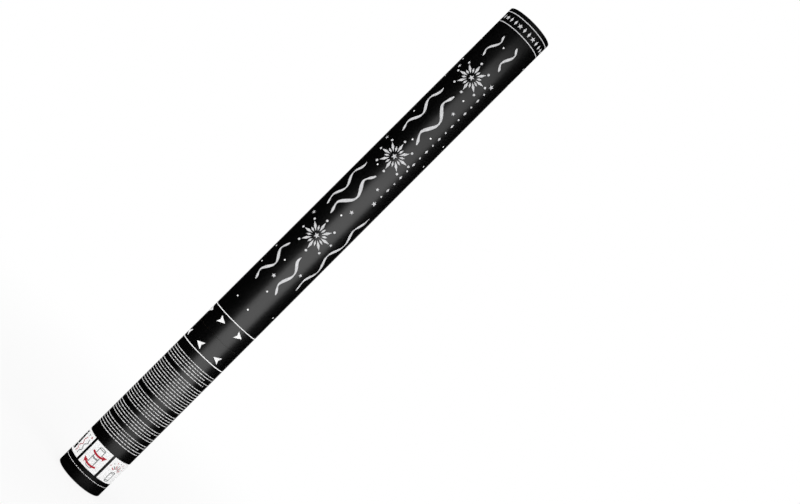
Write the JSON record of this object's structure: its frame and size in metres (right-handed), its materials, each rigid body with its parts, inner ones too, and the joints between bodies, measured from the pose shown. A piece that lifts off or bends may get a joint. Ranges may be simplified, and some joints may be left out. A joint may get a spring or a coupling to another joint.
{
  "type": "confetti popper",
  "caption": "Hand-held twist-release confetti cannon: a slim black board tube whose barrel turns on the handle to free a gas stopper and launch rolled foil streamers.",
  "frame": {"origin": "centre of the base, on the surface that the tube stands on", "axes": "+Z along the tube from the base to the muzzle; -Y is the printed front; +X to its right"},
  "size_m": [0.05, 0.05, 0.6],
  "materials": {
    "board": "matte",
    "black_wrap": "satin",
    "black_plastic": "matte",
    "natural_plastic": "satin",
    "grey_plastic": "satin",
    "acetal": "satin",
    "aluminium": "satin",
    "rubber": "matte",
    "steel": "satin",
    "card": "matte",
    "silver_foil": "gloss"
  },
  "bodies": {
    "handle": {"handle_tube": "board", "handle_wrap": "black_wrap", "base_plug": "black_plastic", "cylinder_cradle": "natural_plastic", "gas_cylinder": "aluminium", "fill_plug": "rubber", "valve_body": "grey_plastic", "neck_washer": "rubber", "crimp_ferrule": "aluminium", "guide_bush": "natural_plastic", "thrust_collar": "natural_plastic"},
    "barrel": {"barrel_tube": "board", "barrel_wrap": "black_wrap", "coupling_sleeve": "grey_plastic", "cam_ring": "acetal", "vent_plate": "natural_plastic"},
    "release": {"stopper": "acetal", "stopper_seals": "rubber", "cross_pin": "steel"},
    "charge": {"pusher_wad": "card", "streamer_layer_01": "silver_foil", "streamer_layer_02": "silver_foil", "streamer_layer_03": "silver_foil", "streamer_layer_04": "silver_foil", "streamer_layer_05": "silver_foil", "streamer_layer_06": "silver_foil", "streamer_layer_07": "silver_foil", "streamer_layer_08": "silver_foil", "streamer_layer_09": "silver_foil", "streamer_layer_10": "silver_foil", "streamer_layer_11": "silver_foil", "streamer_layer_12": "silver_foil", "streamer_layer_13": "silver_foil", "streamer_layer_14": "silver_foil", "streamer_layer_15": "silver_foil", "streamer_layer_16": "silver_foil", "streamer_layer_17": "silver_foil", "streamer_layer_18": "silver_foil"},
    "lid": {"muzzle_lid": "card"}
  },
  "joints": [
    {"name": "twist", "type": "hinge", "parent": "handle", "child": "barrel", "pos_m": [0, 0, 0.1845], "axis": [0, 0, 1], "range_deg": [0, 90]},
    {"name": "stopper_lift", "type": "slide", "parent": "handle", "child": "release", "axis": [0, 0, 1], "range_m": [0, 0.008]},
    {"name": "launch", "type": "slide", "parent": "barrel", "child": "charge", "axis": [0, 0, 1], "range_m": [0, 0.3875]},
    {"name": "lid_off", "type": "slide", "parent": "charge", "child": "lid", "axis": [0, 0, 1], "range_m": [0, 0.04]}
  ],
  "couplings": [
    {"joint": "stopper_lift", "follows": "twist", "m_per_rad": 0.0050929}
  ]
}
